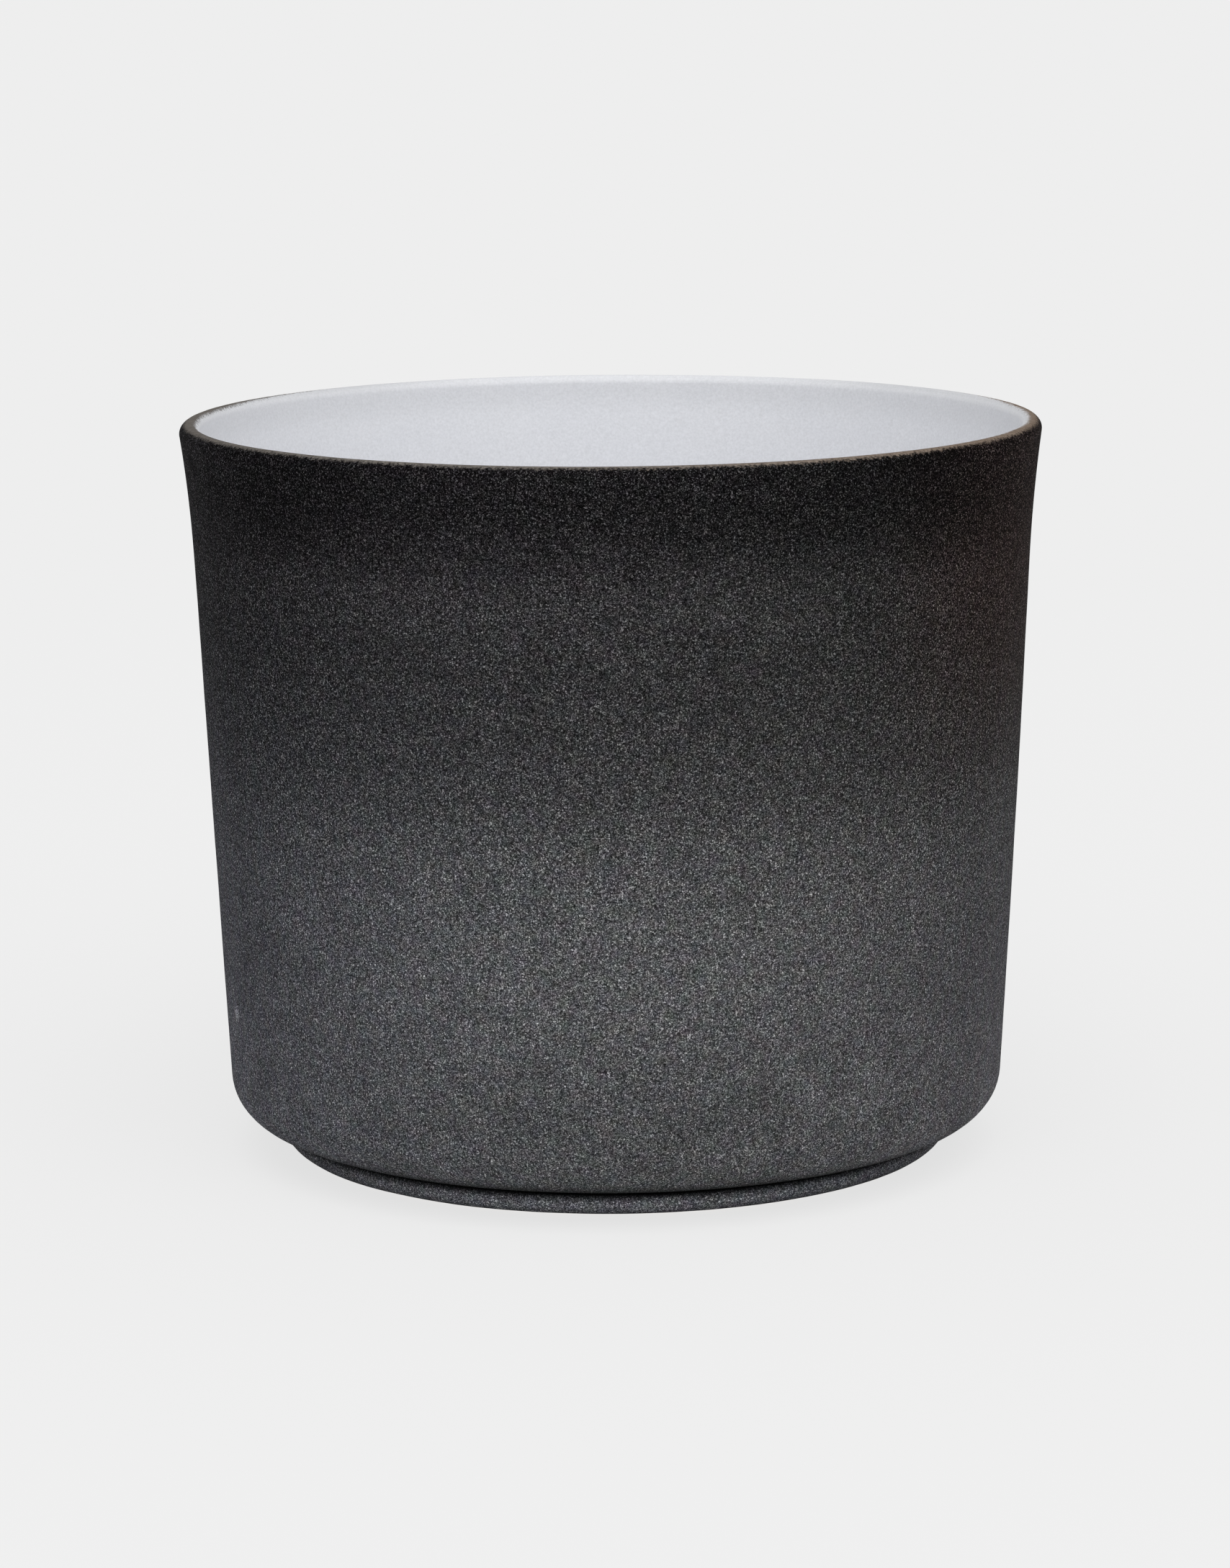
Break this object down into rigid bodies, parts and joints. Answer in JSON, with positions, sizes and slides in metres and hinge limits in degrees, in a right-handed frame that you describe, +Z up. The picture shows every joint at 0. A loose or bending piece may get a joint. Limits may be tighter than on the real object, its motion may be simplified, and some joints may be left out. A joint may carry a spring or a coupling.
{
  "type": "candle jar",
  "caption": "Open stoneware candle jar with a slightly flared mouth, rounded heel and low foot ring; dark matte sand glaze outside and a white liner glaze inside.",
  "frame": {"origin": "centre of the foot's contact plane, which is the plane that the jar stands on", "axes": "+Z up, along the jar's axis of revolution and out of its mouth; the jar is round, so +X and +Y are any two horizontal directions"},
  "size_m": [0.12, 0.12, 0.103],
  "materials": {
    "bare_clay": "matte",
    "sand_glaze": "matte",
    "liner_glaze": "satin"
  },
  "bodies": {
    "root": {"clay_body": "bare_clay", "foot_ring": "bare_clay", "sand_glaze": "sand_glaze", "foot_glaze": "sand_glaze", "liner_glaze": "liner_glaze"}
  },
  "joints": []
}
